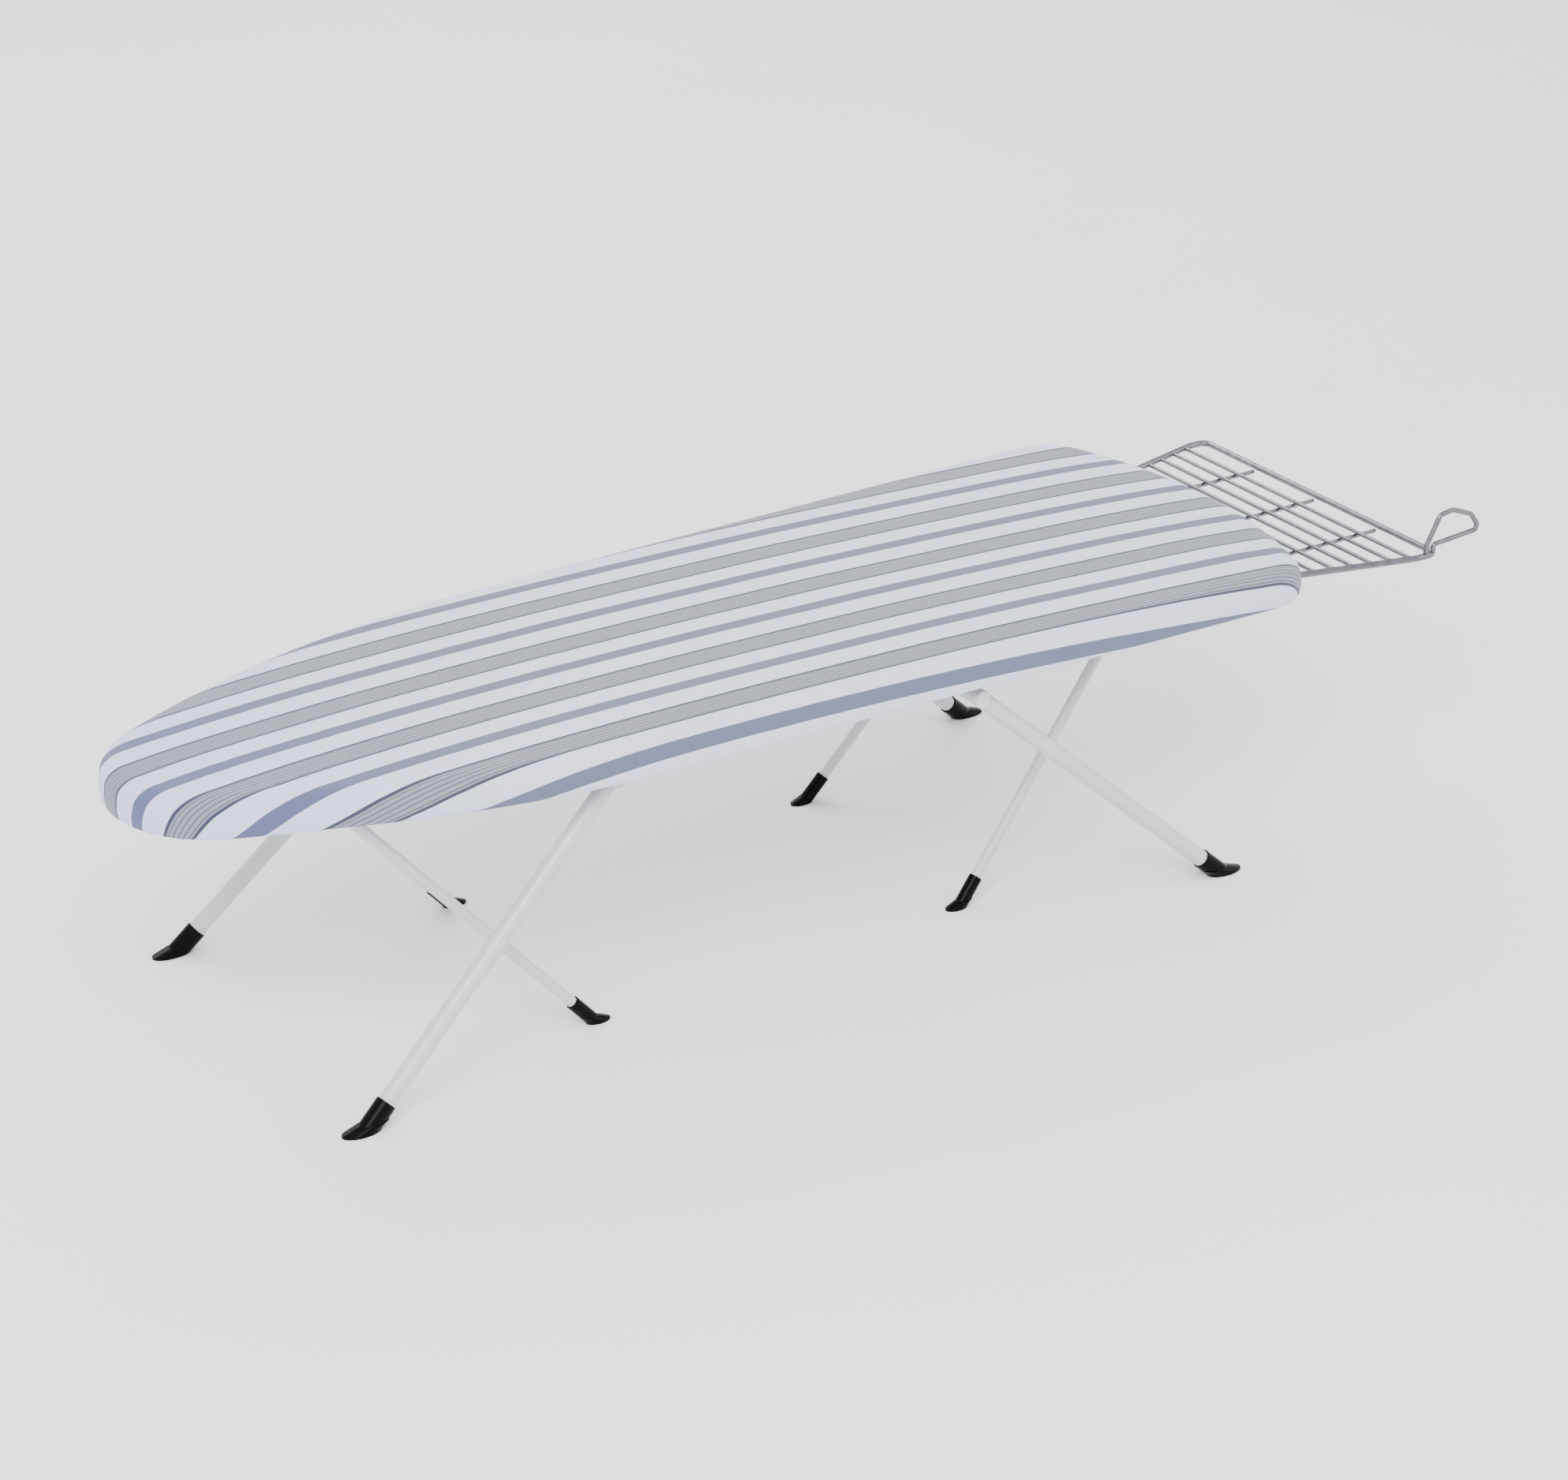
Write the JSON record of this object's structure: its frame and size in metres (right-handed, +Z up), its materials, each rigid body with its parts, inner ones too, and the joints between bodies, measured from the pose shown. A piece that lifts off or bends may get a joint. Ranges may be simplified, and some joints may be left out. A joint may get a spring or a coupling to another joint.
{
  "type": "tabletop ironing board",
  "caption": "Low ironing board for a table top: padded striped deck with a rounded nose, crossed folding legs with plastic feet, and a wire iron rest that slides out at the tail.",
  "frame": {"origin": "on the surface that the feet stand on, under the middle of the whole length with the iron rest pulled out", "axes": "+X from the rounded nose to the square tail, +Y to the left when looking along +X, +Z up"},
  "size_m": [1.072, 0.3536, 0.2339],
  "materials": {
    "cover_fabric": "printed cotton, stripes along the board",
    "pad_foam": "felted foam",
    "deck_steel": "white powder coat on expanded steel",
    "rib_steel": "white powder coat on pressed steel",
    "rivet_steel": "plated steel",
    "leg_powder_coat": "glossy white powder coat",
    "foot_plastic": "glossy black moulding",
    "plug_plastic": "white moulding",
    "guide_plastic": "white nylon",
    "rest_wire": "plated steel wire"
  },
  "bodies": {
    "board": {"bracket_rivets": "rivet_steel", "cover": "cover_fabric", "foam_pad": "pad_foam", "guide_rib": "rib_steel", "inner_guide_left": "guide_plastic", "inner_guide_right": "guide_plastic", "mesh_panel": "deck_steel", "nose_inner_bracket_left": "rib_steel", "nose_inner_bracket_right": "rib_steel", "nose_inner_rib": "rib_steel", "nose_outer_bracket_left": "rib_steel", "nose_outer_bracket_right": "rib_steel", "nose_outer_rib": "rib_steel", "outer_guide_left": "guide_plastic", "outer_guide_right": "guide_plastic", "rim": "deck_steel", "tail_inner_bracket_left": "rib_steel", "tail_inner_bracket_right": "rib_steel", "tail_inner_rib": "rib_steel", "tail_outer_bracket_left": "rib_steel", "tail_outer_bracket_right": "rib_steel", "tail_outer_rib": "rib_steel"},
    "nose_outer_frame": {"nose_outer_foot_left": "foot_plastic", "nose_outer_foot_right": "foot_plastic", "nose_outer_hinge_tube": "leg_powder_coat", "nose_outer_leg_left": "leg_powder_coat", "nose_outer_leg_right": "leg_powder_coat", "nose_outer_stop_lugs": "leg_powder_coat", "nose_outer_tube_plugs": "plug_plastic"},
    "nose_inner_frame": {"nose_inner_foot_left": "foot_plastic", "nose_inner_foot_right": "foot_plastic", "nose_inner_hinge_tube": "leg_powder_coat", "nose_inner_leg_left": "leg_powder_coat", "nose_inner_leg_right": "leg_powder_coat", "nose_inner_stop_lugs": "leg_powder_coat", "nose_inner_tube_plugs": "plug_plastic"},
    "tail_outer_frame": {"tail_outer_foot_left": "foot_plastic", "tail_outer_foot_right": "foot_plastic", "tail_outer_hinge_tube": "leg_powder_coat", "tail_outer_leg_left": "leg_powder_coat", "tail_outer_leg_right": "leg_powder_coat", "tail_outer_stop_lugs": "leg_powder_coat", "tail_outer_tube_plugs": "plug_plastic"},
    "tail_inner_frame": {"tail_inner_foot_left": "foot_plastic", "tail_inner_foot_right": "foot_plastic", "tail_inner_hinge_tube": "leg_powder_coat", "tail_inner_leg_left": "leg_powder_coat", "tail_inner_leg_right": "leg_powder_coat", "tail_inner_stop_lugs": "leg_powder_coat", "tail_inner_tube_plugs": "plug_plastic"},
    "iron_rest": {"rest_collars": "rest_wire", "rest_cross_wires": "rest_wire", "rest_long_wires": "rest_wire", "rest_rail_left": "rest_wire", "rest_rail_right": "rest_wire", "rest_stop_loop": "rest_wire"}
  },
  "joints": [
    {"name": "nose_outer_fold", "type": "hinge", "parent": "board", "child": "nose_outer_frame", "pos_m": [-0.22395, 0, 0.196], "axis": [0, -1, 0], "range_deg": [0, 130.6]},
    {"name": "nose_inner_fold", "type": "hinge", "parent": "board", "child": "nose_inner_frame", "pos_m": [-0.40408, 0, 0.196], "axis": [0, -1, 0], "range_deg": [0, 44.1]},
    {"name": "tail_outer_fold", "type": "hinge", "parent": "board", "child": "tail_outer_frame", "pos_m": [0.06816, 0, 0.1875], "axis": [0, 1, 0], "range_deg": [0, 136.6]},
    {"name": "tail_inner_fold", "type": "hinge", "parent": "board", "child": "tail_inner_frame", "pos_m": [0.23717, 0, 0.1875], "axis": [0, 1, 0], "range_deg": [0, 44.6]},
    {"name": "iron_rest_slide", "type": "slide", "parent": "board", "child": "iron_rest", "axis": [1, 0, 0], "range_m": [-0.112, 0]}
  ]
}
